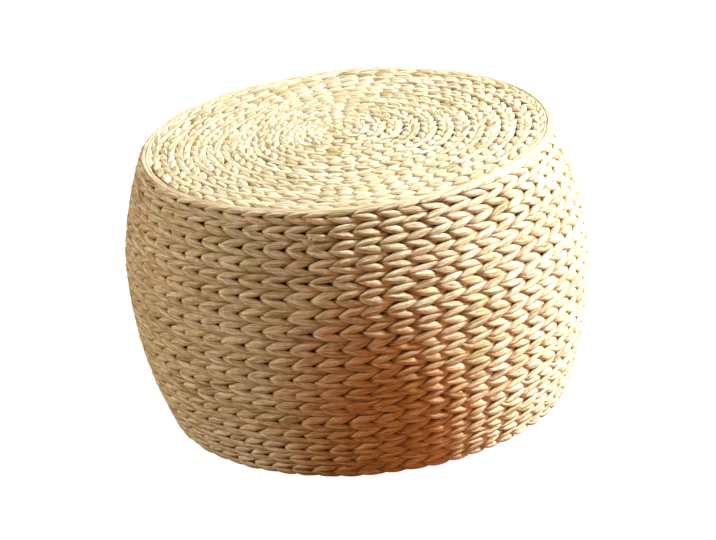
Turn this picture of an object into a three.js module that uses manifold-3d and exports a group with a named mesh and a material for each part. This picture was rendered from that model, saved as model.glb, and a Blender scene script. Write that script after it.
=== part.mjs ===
// A round woven stool: a barrel of straw rows wound over hidden stakes, with a wound
// flat seat and a smooth cord along its edge. Inside, a lashed cane frame and a board
// carry the sitter. Millimetres, +Z up, origin on the floor under the stool's middle.
// Azimuth 0 is the front, towards -Y, and turns anticlockwise seen from above.
import * as THREE from 'three';
import { mergeVertices } from 'three/addons/utils/BufferGeometryUtils.js';
import Module from 'manifold-3d';

const wasm = await Module();
wasm.setup();

// Outer shape of the barrel.
const height = 300;
const bellyDiameter = 500;
const rimDiameter = 441;
const baseDiameter = 432;
const bellyHeight = 173;
const upperBulgePower = 1.74;
const lowerBulgePower = 2.19;

// Room left between pieces that touch, and between neighbouring rows of a winding.
const clearance = 0.35;
const rowGap = 0.6;

// Straw rows: each winding is one unbroken run of rows.
const rowDepth = 9;
const leastRow = 2;
const sideRows = 17;
const seatRows = 13.25;
const stepsPerLoop = 24;
const climbSteps = 3;
const climbStartStep = 11;
const seatStartStep = 18;
const knotDiameter = 9;
const rimCordDiameter = 8;

// The seat's spiral starts at an eye behind the middle, and evens out within this reach.
const eyeLeft = 10;
const eyeBack = 28;
const eyeReach = 118;

// Stakes that the rows are twined on. They are set in fans, whose middle stake is the
// longest, with the slanted inner ends of each pair beside it tucked against the last.
const stakeDiameter = 4;
const firstStakeAzimuth = THREE.MathUtils.degToRad(3.2);
const fanCount = 12;
const pairsPerFan = 2;
const stakeBend = 8;
const stakeFloorGap = 2;
const firstStakeStart = 40;
const nextStakeStep = 55;
const slantRun = 40;
const slantThicknessShare = 0.8;

// Cane frame: three hoops with upright ribs lashed to their inner sides.
const hoopDiameter = 12;
const hoopSides = 8;
const ribDiameter = 12;
const ribCount = 8;
const ribStraightRun = 5;
const ribStepsBetweenHoops = 3;
const baseHoopHeight = 15;
const lashingWidth = 3;
const lashingThickness = 1;

// Seat board, the two crossed braces below it, and the screws that join them.
const boardThickness = 10;
const braceWidth = 24;
const braceThickness = 12;
const screwRadiusOut = 160;
const screwDiameter = 4;
const screwHeadDiameter = 8;
const screwHeadHeight = 2.5;
const screwLength = 18;
const screwSides = 8;
const screwCount = 4;

// One row seen end on: [share across the row, share of the depth behind its face].
const rowSectionShares = [[0.14, 1], [0.86, 1], [1, 0.5], [0.72, 0], [0.28, 0], [0, 0.5]];

// A round cane with flat sides to lie against its neighbour: [outwards, sideways] shares.
const ribSectionShares = [[0.5, 0.2887], [0.5, -0.2887], [0, -0.5774], [-0.5, -0.2887],
  [-0.5, 0.2887], [0, 0.5774]];
const stakeSectionShares = [[0.5, 0.5], [0.5, -0.5], [-0.5, -0.5], [-0.5, 0.5]];

const stakeCount = fanCount * (1 + 2 * pairsPerFan);
const stakeAngle = 2 * Math.PI / stakeCount;
const stepAngle = 2 * Math.PI / stepsPerLoop;
const facetShare = Math.cos(stepAngle / 2);

// Heights of the layers, from the seat downwards.
const seatRowBottom = height - rowDepth;
const stakeTop = seatRowBottom - clearance;
const boardTop = stakeTop - stakeDiameter - clearance;
const boardBottom = boardTop - boardThickness;
const braceTop = boardBottom - clearance;
const topHoopHeight = braceTop - braceThickness - clearance - hoopDiameter / 2;
const sideTop = seatRowBottom - clearance;
const sideBottom = clearance;
const seatInner = knotDiameter / 2 + clearance;
const seatOuter = rimDiameter / 2 - rimCordDiameter - clearance;

// Radius of the barrel's outer face at a height.
function profileRadius(z) {
  const belly = bellyDiameter / 2;
  if (z > bellyHeight) {
    const share = (z - bellyHeight) / (height - bellyHeight);
    return belly - (belly - rimDiameter / 2) * share ** upperBulgePower;
  }
  const share = (bellyHeight - z) / bellyHeight;
  return belly - (belly - baseDiameter / 2) * share ** lowerBulgePower;
}

// A stake runs straight between these bends, from its shoulder down to the base.
const shoulderHeight = stakeTop - stakeDiameter / 2 - stakeBend;
const stakeHeights = [shoulderHeight, (shoulderHeight + bellyHeight) / 2, bellyHeight,
  bellyHeight / 2, stakeFloorGap];

// Radius of a stake's middle line behind the side rows, with its bends on the barrel's
// curve.
function stakeRadius(z) {
  const bend = stakeHeights.findIndex((height, i) => i > 0 && z >= height);
  const lower = bend < 0 ? stakeHeights.length - 1 : bend;
  const [top, bottom] = [stakeHeights[lower - 1], stakeHeights[lower]];
  const radius = THREE.MathUtils.mapLinear(
    z, bottom, top, profileRadius(bottom), profileRadius(top));
  return (radius - rowDepth) * facetShare - clearance - stakeDiameter / 2;
}

// Least radius of the stakes' inner sides, within a reach above and below a height.
function stakeInside(z, reach) {
  const [upper, lower] = [stakeRadius(z + reach), stakeRadius(z - reach)];
  const slope = (upper - lower) / (2 * reach);
  return Math.min(upper, lower) - stakeDiameter / 2 * Math.hypot(1, slope);
}

// Outer radius of a hoop that lies inside the stakes, with room for its lashings.
function hoopRadius(z) {
  const bare = stakeInside(z, hoopDiameter / 2) - clearance;
  const lashed = stakeInside(z, lashingHalfHeight()) - 2 * clearance - lashingThickness;
  return Math.min(bare, lashed / facetShare);
}

// Radius of a rib's middle line where it is lashed to the hoop at this height.
function ribRadius(z) {
  return (hoopRadius(z) - hoopDiameter) * facetShare - clearance - ribDiameter / 2;
}

// A point at a radius, an azimuth and a height.
function polar(radius, azimuth, z) {
  return new THREE.Vector3(radius * Math.sin(azimuth), -radius * Math.cos(azimuth), z);
}

// Joins equal rings of points, in order, into one closed skin with a cap at each end.
function loft(rings) {
  const sides = rings[0].length;
  const faces = [];
  for (let k = 0; k + 1 < rings.length; k += 1) {
    for (let i = 0; i < sides; i += 1) {
      const a = k * sides + i;
      const b = k * sides + (i + 1) % sides;
      faces.push(a, b, b + sides, a, b + sides, a + sides);
    }
  }
  const last = (rings.length - 1) * sides;
  for (let i = 1; i + 1 < sides; i += 1) {
    faces.push(0, i + 1, i, last, last + i, last + i + 1);
  }
  const points = rings.flat();
  let volume = 0;
  for (let i = 0; i < faces.length; i += 3) {
    const [p, q, r] = [points[faces[i]], points[faces[i + 1]], points[faces[i + 2]]];
    volume += p.dot(q.clone().cross(r));
  }
  const geometry = new THREE.BufferGeometry();
  const positions = points.flatMap((point) => point.toArray());
  geometry.setAttribute('position', new THREE.Float32BufferAttribute(positions, 3));
  geometry.setIndex(volume > 0 ? faces : faces.reverse());
  return geometry;
}

// The rings of one unbroken winding. The row given at each step has its two edges and
// turns them into section points; rows thinner than the least one are left off the ends.
function windingRings(firstAzimuth, steps, rowAt, pointAt) {
  const rings = [];
  for (let step = 0; step <= steps; step += 1) {
    const azimuth = firstAzimuth + step * stepAngle;
    const [low, high] = rowAt(step / stepsPerLoop);
    if (high - low < leastRow) continue;
    rings.push(rowSectionShares.map(([across, depth]) => (
      pointAt(low + (high - low) * across, rowDepth * depth, azimuth))));
  }
  return rings;
}

// Points spread along the edges of a section, for measuring gaps.
function edgePoints(ring) {
  const shares = [0, 0.25, 0.5, 0.75];
  return ring.flatMap((point, i) => (
    shares.map((share) => point.clone().lerp(ring[(i + 1) % ring.length], share))));
}

// Least distance between a winding and its own later loops, measured on points.
function leastGap(rings) {
  const reach = 2 * (rowDepth + rowGap + bellyDiameter / stepsPerLoop);
  const clouds = rings.map(edgePoints);
  let least = Infinity;
  for (let a = 0; a < clouds.length; a += 1) {
    for (let b = a + stepsPerLoop / 2; b < clouds.length; b += 1) {
      if (rings[a][0].distanceTo(rings[b][0]) > reach) continue;
      for (const point of clouds[a]) {
        for (const other of clouds[b]) {
          least = Math.min(least, point.distanceTo(other));
        }
      }
    }
  }
  return least;
}

// Side: level rows from the floor to the rim cord. Each loop climbs to the next row over
// a few steps at the back, where the first and last rows thin out under and over it.
function sideWindingRings() {
  const pitch = (sideTop - sideBottom + rowGap) / sideRows;
  const climbShare = climbSteps / stepsPerLoop;
  const rowAt = (turns) => {
    const climbed = Math.floor(turns) + Math.min((turns % 1) / climbShare, 1);
    const high = sideBottom + pitch * climbed - rowGap;
    const low = sideBottom + pitch * (climbed - 1);
    return [Math.max(low, sideBottom), Math.min(high, sideTop)];
  };
  const pointAt = (z, depth, azimuth) => polar(profileRadius(z) - depth, azimuth, z);
  const steps = sideRows * stepsPerLoop + climbSteps;
  return windingRings(climbStartStep * stepAngle, steps, rowAt, pointAt);
}

// How far the seat's spiral is drawn towards its eye at a radius.
function seatDrift(radius) {
  const share = THREE.MathUtils.clamp(1 - (radius - seatInner) / eyeReach, 0, 1);
  return new THREE.Vector3(-eyeLeft, eyeBack, 0).multiplyScalar(share);
}

// Seat: one flat spiral from the knot at its eye out to the rim cord.
function seatWindingRings() {
  const pitch = (seatOuter - seatInner + rowGap) / seatRows;
  const rowAt = (turns) => {
    const high = seatInner + pitch * turns - rowGap;
    const low = seatInner + pitch * (turns - 1);
    return [Math.max(low, seatInner), Math.min(high, seatOuter)];
  };
  const pointAt = (radius, depth, azimuth) => (
    polar(radius, azimuth, height - depth).add(seatDrift(radius)));
  const steps = Math.ceil((seatRows + 1) * stepsPerLoop);
  return windingRings(seatStartStep * stepAngle, steps, rowAt, pointAt);
}

// A ring of round section about the stool's axis.
function hoopGeometry(middleRadius, z, diameter, sides) {
  const corner = diameter / 2 / Math.cos(Math.PI / sides);
  const outline = [];
  for (let i = 0; i <= sides; i += 1) {
    const angle = (i % sides + 0.5) * 2 * Math.PI / sides;
    const radius = middleRadius + corner * Math.cos(angle);
    outline.push(new THREE.Vector2(radius, z + corner * Math.sin(angle)));
  }
  return turned(outline, stepsPerLoop);
}

// A turned piece about +Z.
function turned(outline, segments) {
  return new THREE.LatheGeometry(outline, segments).rotateX(Math.PI / 2);
}

// A bar bent in the upright plane of azimuth 0. Its path is [radius, height] points, and
// each bend is mitred, so that the bar keeps its thickness.
function bentBar(path, diameter, sectionShares) {
  const line = path.map(([radius, z]) => new THREE.Vector2(radius, z));
  const rings = line.map((point, k) => {
    const before = point.clone().sub(line[Math.max(k - 1, 0)]).normalize();
    const after = line[Math.min(k + 1, line.length - 1)].clone().sub(point).normalize();
    const along = before.clone().add(after).normalize();
    const half = Math.max(before.dot(along), after.dot(along));
    const outwards = new THREE.Vector2(-along.y, along.x).divideScalar(half);
    return sectionShares.map(([out, side]) => {
      const place = point.clone().addScaledVector(outwards, out * diameter);
      return new THREE.Vector3(side * diameter, -place.x, place.y);
    });
  });
  return loft(rings);
}

// A stake from its start on the board, over the board's edge and down to the base.
function stakeGeometry(start) {
  const top = stakeTop - stakeDiameter / 2;
  const path = [[start, top], [stakeRadius(shoulderHeight) - stakeBend, top]];
  stakeHeights.forEach((z) => path.push([stakeRadius(z), z]));
  return bentBar(path, stakeDiameter, stakeSectionShares);
}

// The slanted inner end of a stake, from its neighbour's line to its own.
function slantGeometry(start, fromAzimuth, toAzimuth) {
  const z = stakeTop - stakeDiameter / 2;
  const from = polar(start - slantRun, fromAzimuth, z);
  const to = polar(start + stakeDiameter / 2, toAzimuth, z);
  const run = to.clone().sub(from);
  const middle = from.clone().add(to).divideScalar(2);
  const size = [run.length(), stakeDiameter, stakeDiameter * slantThicknessShare];
  return new THREE.BoxGeometry(...size)
    .rotateZ(Math.atan2(run.y, run.x))
    .translate(...middle);
}

// One fan of stakes about azimuth 0.
function fanGeometry() {
  let fan = solid(stakeGeometry(firstStakeStart));
  for (let pair = 1; pair <= pairsPerFan; pair += 1) {
    const start = firstStakeStart + pair * nextStakeStep;
    for (const side of [-1, 1]) {
      const azimuth = side * pair * stakeAngle;
      const last = side * (pair - 1) * stakeAngle;
      fan = fan.add(solid(stakeGeometry(start).rotateZ(azimuth)));
      fan = fan.add(solid(slantGeometry(start, last, azimuth)));
    }
  }
  return geometryOf(fan);
}

// A bowed rib from the floor to the board, straight where it lies against each hoop.
function ribGeometry() {
  const hoops = [baseHoopHeight, bellyHeight, topHoopHeight];
  const straight = hoopDiameter / 2 + ribStraightRun;
  const path = [[ribRadius(baseHoopHeight), 0]];
  hoops.forEach((z, i) => {
    const radius = ribRadius(z);
    if (i > 0) path.push([radius, z - straight]);
    if (i + 1 === hoops.length) return;
    path.push([radius, z + straight]);
    const inset = profileRadius(z) - radius;
    const nextInset = profileRadius(hoops[i + 1]) - ribRadius(hoops[i + 1]);
    for (let k = 1; k < ribStepsBetweenHoops; k += 1) {
      const share = k / ribStepsBetweenHoops;
      const between = THREE.MathUtils.lerp(z + straight, hoops[i + 1] - straight, share);
      const outer = profileRadius(between);
      path.push([outer - THREE.MathUtils.lerp(inset, nextInset, share), between]);
    }
  });
  path.push([ribRadius(topHoopHeight), boardBottom - clearance]);
  return bentBar(path, ribDiameter, ribSectionShares);
}

// Half the length of a lashing's inside, along its slant over a hoop and a rib.
function lashingReach() {
  const ribHalfWidth = ribDiameter * Math.max(...ribSectionShares.map((share) => share[1]));
  const widest = Math.max(ribHalfWidth, hoopDiameter / 2) + clearance;
  return widest * Math.SQRT2 + lashingWidth / 2;
}

// How far a lashing reaches above and below its hoop's middle.
function lashingHalfHeight() {
  return (lashingReach() + lashingThickness + lashingWidth / 2) / Math.SQRT2;
}

// One lashing round a hoop and a rib, laid slantwise over their crossing.
function lashingGeometry(hoopZ) {
  const inner = ribRadius(hoopZ) - ribDiameter / 2 - clearance;
  const outer = hoopRadius(hoopZ) * facetShare + clearance;
  const reach = lashingReach();
  const band = rectangle(new THREE.Shape(), reach + lashingThickness,
    (outer - inner) / 2 + lashingThickness);
  band.holes.push(rectangle(new THREE.Path(), reach, (outer - inner) / 2));
  const settings = { depth: lashingWidth, bevelEnabled: false };
  return new THREE.ExtrudeGeometry(band, settings)
    .translate(0, 0, -lashingWidth / 2)
    .rotateY(Math.PI / 4)
    .translate(0, -(inner + outer) / 2, hoopZ);
}

// A rectangle about the origin, given its half sizes.
function rectangle(outline, halfWidth, halfHeight) {
  outline.moveTo(-halfWidth, -halfHeight);
  outline.lineTo(halfWidth, -halfHeight);
  outline.lineTo(halfWidth, halfHeight);
  outline.lineTo(-halfWidth, halfHeight);
  outline.closePath();
  return outline;
}

// The seat board, with its top edge bevelled under the bend of the stakes.
function boardGeometry() {
  const room = stakeDiameter / 2 + clearance;
  const radius = stakeRadius(shoulderHeight) - room;
  const bevel = stakeBend - room * (2 - Math.SQRT2);
  return turned([
    new THREE.Vector2(0, boardBottom),
    new THREE.Vector2(radius, boardBottom),
    new THREE.Vector2(radius, boardTop - bevel),
    new THREE.Vector2(radius - bevel, boardTop),
    new THREE.Vector2(0, boardTop),
  ], stakeCount);
}

// One brace along X, halved where it crosses the other: open upwards or downwards.
function braceGeometry(openUpwards) {
  const reach = stakeRadius(braceTop) - stakeDiameter / 2 - clearance;
  const half = Math.sqrt(reach ** 2 - (braceWidth / 2) ** 2);
  const top = openUpwards ? braceTop : braceTop - braceThickness;
  const bottom = openUpwards ? braceTop - braceThickness : braceTop;
  const floor = (top + bottom + (openUpwards ? -clearance : clearance)) / 2;
  const notch = braceWidth / 2 + clearance;
  const outline = new THREE.Shape([
    new THREE.Vector2(-half, bottom), new THREE.Vector2(half, bottom),
    new THREE.Vector2(half, top), new THREE.Vector2(notch, top),
    new THREE.Vector2(notch, floor), new THREE.Vector2(-notch, floor),
    new THREE.Vector2(-notch, top), new THREE.Vector2(-half, top),
  ]);
  return new THREE.ExtrudeGeometry(outline, { depth: braceWidth, bevelEnabled: false })
    .translate(0, 0, -braceWidth / 2)
    .rotateX(Math.PI / 2);
}

// A countersunk screw standing in the board, or the hole that it goes into.
function screwGeometry(room) {
  const head = screwHeadDiameter / 2 + room;
  const shank = screwDiameter / 2 + room;
  const overrun = room > 0 ? clearance : 0;
  const tip = boardTop - screwLength - room;
  return turned([
    new THREE.Vector2(0, tip),
    new THREE.Vector2(shank, tip),
    new THREE.Vector2(shank, boardTop - screwHeadHeight),
    new THREE.Vector2(head, boardTop),
    new THREE.Vector2(head, boardTop + overrun),
    new THREE.Vector2(0, boardTop + overrun),
  ].filter((point, i, all) => i === 0 || !point.equals(all[i - 1])), screwSides)
    .translate(0, -screwRadiusOut, 0);
}

// A closed three.js geometry as a solid for cutting.
function solid(geometry) {
  const bare = geometry.clone();
  bare.deleteAttribute('normal');
  bare.deleteAttribute('uv');
  const merged = mergeVertices(bare);
  return new wasm.Manifold(new wasm.Mesh({
    numProp: 3,
    vertProperties: new Float32Array(merged.attributes.position.array),
    triVerts: new Uint32Array(merged.index.array),
  }));
}

// The first geometry with each of the others cut out of it.
function cut(geometry, tools) {
  let body = solid(geometry);
  tools.forEach((tool) => { body = body.subtract(solid(tool)); });
  return geometryOf(body);
}

// A cut or joined solid as a three.js geometry.
function geometryOf(body) {
  const mesh = body.getMesh();
  const result = new THREE.BufferGeometry();
  const positions = new THREE.BufferAttribute(mesh.vertProperties, mesh.numProp);
  result.setAttribute('position', positions);
  result.setIndex(new THREE.BufferAttribute(mesh.triVerts, 1));
  return result;
}

const straw = new THREE.MeshStandardMaterial({ color: 0xd9bd8c, roughness: 0.85, metalness: 0 });
const rimStraw = new THREE.MeshStandardMaterial({ color: 0xe2c998, roughness: 0.8, metalness: 0 });
const stakeCane = new THREE.MeshStandardMaterial({ color: 0xb08a55, roughness: 0.7, metalness: 0 });
const frameCane = new THREE.MeshStandardMaterial({ color: 0xc29a62, roughness: 0.6, metalness: 0 });
const peel = new THREE.MeshStandardMaterial({ color: 0xcfae78, roughness: 0.6, metalness: 0 });
const board = new THREE.MeshStandardMaterial({ color: 0xc9a878, roughness: 0.75, metalness: 0 });
const timber = new THREE.MeshStandardMaterial({ color: 0xb98f5d, roughness: 0.75, metalness: 0 });
const steel = new THREE.MeshStandardMaterial({ color: 0xa8a8a8, roughness: 0.4, metalness: 1 });

const stool = new THREE.Group();

function place(parent, name, geometry, material) {
  const mesh = new THREE.Mesh(geometry, material);
  mesh.name = name;
  parent.add(mesh);
  return mesh;
}

function numbered(name, index) {
  return `${name}_${String(index + 1).padStart(2, '0')}`;
}

// The woven cover.
const cover = new THREE.Group();
const sideRings = sideWindingRings();
const seatRings = seatWindingRings();
console.log(`side_winding: least gap to itself ${leastGap(sideRings).toFixed(2)} mm`);
console.log(`seat_winding: least gap to itself ${leastGap(seatRings).toFixed(2)} mm`);
place(cover, 'side_winding', loft(sideRings), straw);
place(cover, 'seat_winding', loft(seatRings), straw);
const rimCordRadius = (rimDiameter - rimCordDiameter) / 2;
const rimCordHeight = seatRowBottom + rimCordDiameter / 2;
place(cover, 'rim_cord',
  hoopGeometry(rimCordRadius, rimCordHeight, rimCordDiameter, hoopSides), rimStraw);
place(cover, 'centre_knot', turned([
  new THREE.Vector2(0, seatRowBottom),
  new THREE.Vector2(knotDiameter / 2, seatRowBottom),
  new THREE.Vector2(knotDiameter / 2, height - knotDiameter / 4),
  new THREE.Vector2(knotDiameter / 4, height),
  new THREE.Vector2(0, height),
], stepsPerLoop / 2).translate(...seatDrift(seatInner)), rimStraw);

const fan = fanGeometry();
for (let i = 0; i < fanCount; i += 1) {
  place(cover, numbered('stake_fan', i), fan, stakeCane)
    .rotateZ(firstStakeAzimuth + i * 2 * Math.PI / fanCount);
}
stool.add(cover);

// The cane frame. Its hoops have a flat facet behind each rib.
const frame = new THREE.Group();
const ribAngle = 2 * Math.PI / ribCount;
const rib = ribGeometry();
for (let i = 0; i < ribCount; i += 1) {
  place(frame, numbered('rib', i), rib, frameCane).rotateZ((i + 0.5) * ribAngle);
}
const hoops = { base: baseHoopHeight, belly: bellyHeight, top: topHoopHeight };
for (const [name, z] of Object.entries(hoops)) {
  const middleRadius = hoopRadius(z) - hoopDiameter / 2;
  const hoop = hoopGeometry(middleRadius, z, hoopDiameter, hoopSides);
  place(frame, `${name}_hoop`, hoop, frameCane);
  const lashing = lashingGeometry(z);
  for (let i = 0; i < ribCount; i += 1) {
    place(frame, numbered(`${name}_lashing`, i), lashing, peel)
      .rotateZ((i + 0.5) * ribAngle);
  }
}
stool.add(frame);

// The seat board on its braces.
const seatSupport = new THREE.Group();
const screwHoles = [];
for (let i = 0; i < screwCount; i += 1) {
  const azimuth = i * 2 * Math.PI / screwCount;
  screwHoles.push(screwGeometry(clearance).rotateZ(azimuth));
  place(seatSupport, numbered('board_screw', i), screwGeometry(0), steel).rotateZ(azimuth);
}
place(seatSupport, 'seat_board', cut(boardGeometry(), screwHoles), board);
place(seatSupport, 'lower_brace', cut(braceGeometry(true), screwHoles), timber);
const upperBrace = braceGeometry(false).rotateZ(Math.PI / 2);
place(seatSupport, 'upper_brace', cut(upperBrace, screwHoles), timber);
stool.add(seatSupport);

export default stool;
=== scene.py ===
# The looks of a round woven straw stool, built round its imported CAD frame. Lengths on the
# stool are in millimetres, and turned into metres where a mesh is made. Lengths of camera,
# lamps and floor, and of textures that don't follow a strand, are in metres. Azimuth 0 is
# the front, towards -Y, and turns anticlockwise seen from above.
import math

import bpy
import numpy as np
from mathutils import Matrix, Vector


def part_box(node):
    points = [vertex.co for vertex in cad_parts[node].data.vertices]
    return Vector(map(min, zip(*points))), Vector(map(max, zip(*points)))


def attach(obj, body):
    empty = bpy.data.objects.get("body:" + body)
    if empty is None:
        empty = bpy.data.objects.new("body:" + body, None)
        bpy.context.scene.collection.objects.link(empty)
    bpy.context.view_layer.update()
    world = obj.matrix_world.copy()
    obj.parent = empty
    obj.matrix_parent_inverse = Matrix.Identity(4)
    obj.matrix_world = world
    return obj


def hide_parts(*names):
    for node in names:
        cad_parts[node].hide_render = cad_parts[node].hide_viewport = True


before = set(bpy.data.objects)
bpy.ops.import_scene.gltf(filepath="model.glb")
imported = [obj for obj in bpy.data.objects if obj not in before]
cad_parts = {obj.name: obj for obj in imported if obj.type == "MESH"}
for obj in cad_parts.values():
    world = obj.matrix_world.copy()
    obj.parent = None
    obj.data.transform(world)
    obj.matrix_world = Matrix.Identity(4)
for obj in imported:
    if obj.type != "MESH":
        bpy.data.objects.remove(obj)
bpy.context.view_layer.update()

MM = 0.001
UP = np.array([0, 0, 1.0])
RIGHT = np.array([1.0, 0, 0])

# Outer shape of the barrel, as in the CAD.
HEIGHT = 300.0
BELLY_RADIUS = 250.0
RIM_RADIUS = 220.5
BASE_RADIUS = 216.0
BELLY_HEIGHT = 173.0
UPPER_POWER = 1.74
LOWER_POWER = 2.19

# Smooth noise: the least height of a wave in it, how much shorter each wave is than the
# one before, and what its sum is divided by.
WAVE_LEAST = 0.5
WAVE_SHORTER = 0.7
WAVE_LEVEL = 1.1

# How finely a strand is cut: steps in front of a stake, steps behind it, and points round.
# The last number is the power that makes a plain tube's section a little square.
FRONT_STEPS = 14
BACK_STEPS = 4
AROUND = 12
PLAIN_SQUARE = 0.9


def profile_radius(z):
    z = np.asarray(z, float)
    up = np.clip((z - BELLY_HEIGHT) / (HEIGHT - BELLY_HEIGHT), 0, 1)
    down = np.clip((BELLY_HEIGHT - z) / BELLY_HEIGHT, 0, 1)
    return (BELLY_RADIUS - (BELLY_RADIUS - RIM_RADIUS) * up ** UPPER_POWER
            - (BELLY_RADIUS - BASE_RADIUS) * down ** LOWER_POWER)


def polar(radius, azimuth, z):
    a = np.radians(azimuth)
    return np.stack(np.broadcast_arrays(radius * np.sin(a), -radius * np.cos(a), z), -1)


def unit(v):
    return v / np.maximum(np.linalg.norm(v, axis=-1, keepdims=True), 1e-9)


def smooth(x):
    x = np.clip(x, 0, 1)
    return x * x * (3 - 2 * x)


def wave(x, seed, waves, longest):
    """Smooth noise about zero, roughly within one either way."""
    r = np.random.default_rng(seed)
    x = np.asarray(x, float)
    total = np.zeros_like(x)
    for i in range(waves):
        length = longest / (1 + WAVE_SHORTER * i)
        total += r.uniform(WAVE_LEAST, 1) * np.sin(
            x * 2 * math.pi / length + r.uniform(0, 2 * math.pi))
    return total / (WAVE_LEVEL * waves ** 0.5)


class Skin:
    """Gathers tubes of straw or cane into one mesh, with what their material reads."""

    def __init__(self):
        self.points, self.quads, self.caps = [], [], []
        self.strand, self.tone, self.deep = [], [], []
        self.count = 0

    def tube(self, rings, strand, tone, deep):
        k, m = rings.shape[:2]
        i = np.arange(k - 1)[:, None] * m
        j = np.arange(m)[None, :]
        n = (j + 1) % m
        quads = np.stack(np.broadcast_arrays(i + j, i + n, i + m + n, i + m + j), -1)
        self.quads.append(quads.reshape(-1, 4) + self.count)
        self.caps.append(np.arange(m)[::-1] + self.count)
        self.caps.append(np.arange(m) + (k - 1) * m + self.count)
        self.points.append(rings.reshape(-1, 3))
        self.strand.append(np.broadcast_to(strand, rings.shape).reshape(-1, 3))
        self.tone.append(np.broadcast_to(tone, (k, m)).ravel())
        self.deep.append(np.broadcast_to(deep, (k, m)).ravel())
        self.count += k * m

    def build(self, name, material, slot, *nodes):
        mesh = bpy.data.meshes.new(name)
        points = np.concatenate(self.points) * MM
        quads = np.concatenate(self.quads)
        corners = np.concatenate([quads.ravel(), *self.caps])
        sizes = np.array([4] * len(quads) + [len(c) for c in self.caps])
        mesh.vertices.add(len(points))
        mesh.vertices.foreach_set("co", points.astype(np.float32).ravel())
        mesh.loops.add(len(corners))
        mesh.loops.foreach_set("vertex_index", corners.astype(np.int32))
        mesh.polygons.add(len(sizes))
        starts = np.concatenate([[0], np.cumsum(sizes)[:-1]])
        mesh.polygons.foreach_set("loop_start", starts.astype(np.int32))
        mesh.polygons.foreach_set("use_smooth", np.ones(len(sizes), bool))
        mesh.update(calc_edges=True)
        mesh.validate()
        for label, kind, field, values in (
                ("strand", "FLOAT_VECTOR", "vector", self.strand),
                ("tone", "FLOAT", "value", self.tone),
                ("deep", "FLOAT", "value", self.deep)):
            attribute = mesh.attributes.new(label, kind, "POINT")
            attribute.data.foreach_set(
                field, np.concatenate(values).astype(np.float32).ravel())
        obj = bpy.data.objects.new(name, mesh)
        bpy.context.collection.objects.link(obj)
        mesh.materials.append(material)
        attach(obj, "root")
        if nodes:
            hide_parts(*nodes)


def squared(value, power):
    """A sine or cosine with its size raised to a power. Below one, the power makes the
    round that they draw squarer."""
    return np.sign(value) * np.abs(value) ** power


def section(power):
    """The points of a strand's section, across it and outwards, as shares of its halves."""
    angle = np.arange(AROUND) * 2 * math.pi / AROUND
    return squared(np.cos(angle), power), squared(np.sin(angle), power)


def lengths_along(line):
    """How far each point of a line lies from its first, measured along the line."""
    return np.concatenate([[0], np.cumsum(np.linalg.norm(np.diff(line, axis=0), axis=1))])


def swept(line, across, out, u, v, start):
    """Rings whose points lie u across and v outwards from a line, and the place of each
    on its strand: along it, counted from start, across it and outwards."""
    rings = line[:, None] + u[..., None] * across[:, None] + v[..., None] * out[:, None]
    run = lengths_along(line)[:, None] + start
    return rings, np.stack([np.broadcast_to(run, u.shape), u, v], -1)


def tube_rings(line, outward, half_wide, half_thick, bumps, seed, start=0.0):
    """Rings round a line of points, with the width across and the thickness outwards."""
    r = np.random.default_rng(seed)
    along = unit(np.gradient(line, axis=0))
    across = unit(np.cross(outward, along))
    wide, thick = section(PLAIN_SQUARE)
    ridge = 1 + bumps * r.normal(size=AROUND)
    u = np.broadcast_to(half_wide, len(line))[:, None] * wide * ridge
    v = np.broadcast_to(half_thick, len(line))[:, None] * thick * ridge
    rings, strand = swept(line, across, np.cross(along, across), u, v, start)
    return rings, strand, v


# One loop of a strand, from where it comes up between two stakes to where it does so
# again, two stakes on. Columns: place along, in stakes; height across the row and half
# width, as shares of the row's half height; half thickness and depth of its face, in
# millimetres; roll of its section, in degrees.
LOOP_STAKES = 2
HEAD, TAIL = -0.66, 0.92
NEXT_HEAD = HEAD + LOOP_STAKES
LOOP = np.array([
    (-0.66, -0.84, 0.70, 2.6, 7.0, 0),
    (-0.58, -0.84, 0.66, 2.8, 4.4, 0),
    (-0.50, -0.78, 0.58, 3.0, 1.9, 4),
    (-0.40, -0.60, 0.64, 3.3, 0.4, 6),
    (-0.28, -0.37, 0.80, 3.8, 0.0, 5),
    (-0.14, -0.19, 0.95, 4.2, -0.1, 2),
    (0.00, -0.08, 1.02, 4.3, 0.0, 0),
    (0.14, 0.04, 1.00, 4.1, 0.2, 6),
    (0.28, 0.19, 0.90, 3.7, 0.6, 12),
    (0.40, 0.34, 0.78, 3.3, 1.2, 18),
    (0.52, 0.45, 0.70, 2.9, 2.2, 22),
    (0.66, 0.50, 0.70, 2.7, 3.5, 24),
    (0.80, 0.46, 0.82, 2.6, 5.6, 20),
    (0.92, 0.32, 1.02, 2.5, 8.0, 10),
    (1.04, 0.10, 1.30, 2.6, 10.4, 0),
    (1.18, -0.30, 1.32, 2.6, 10.4, -4),
    (1.28, -0.66, 1.00, 2.6, 9.0, 0),
    (1.34, -0.84, 0.70, 2.6, 7.0, 0),
])
DEEPEST = 10.4

# The table is read at this many places, and rounded off over these steps either way.
TABLE_STEPS = 400
ROUND_REACH = 20
ROUND_WIDTH = 6.0


def rounded_column(index):
    """A column of LOOP with its corners rounded off, and the places of its values."""
    places = HEAD + LOOP_STAKES * np.arange(TABLE_STEPS) / TABLE_STEPS
    values = np.interp(places, LOOP[:, 0], LOOP[:, index])
    kernel = np.exp(-0.5 * (np.arange(-ROUND_REACH, ROUND_REACH + 1) / ROUND_WIDTH) ** 2)
    joined = np.concatenate([values[-ROUND_REACH:], values, values[:ROUND_REACH]])
    values = np.convolve(joined, kernel / kernel.sum(), "valid")
    return np.append(places, NEXT_HEAD), np.append(values, values[0])


COLUMNS = {name: rounded_column(index + 1)
           for index, name in enumerate(("rise", "wide", "thick", "depth", "roll"))}


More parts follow.
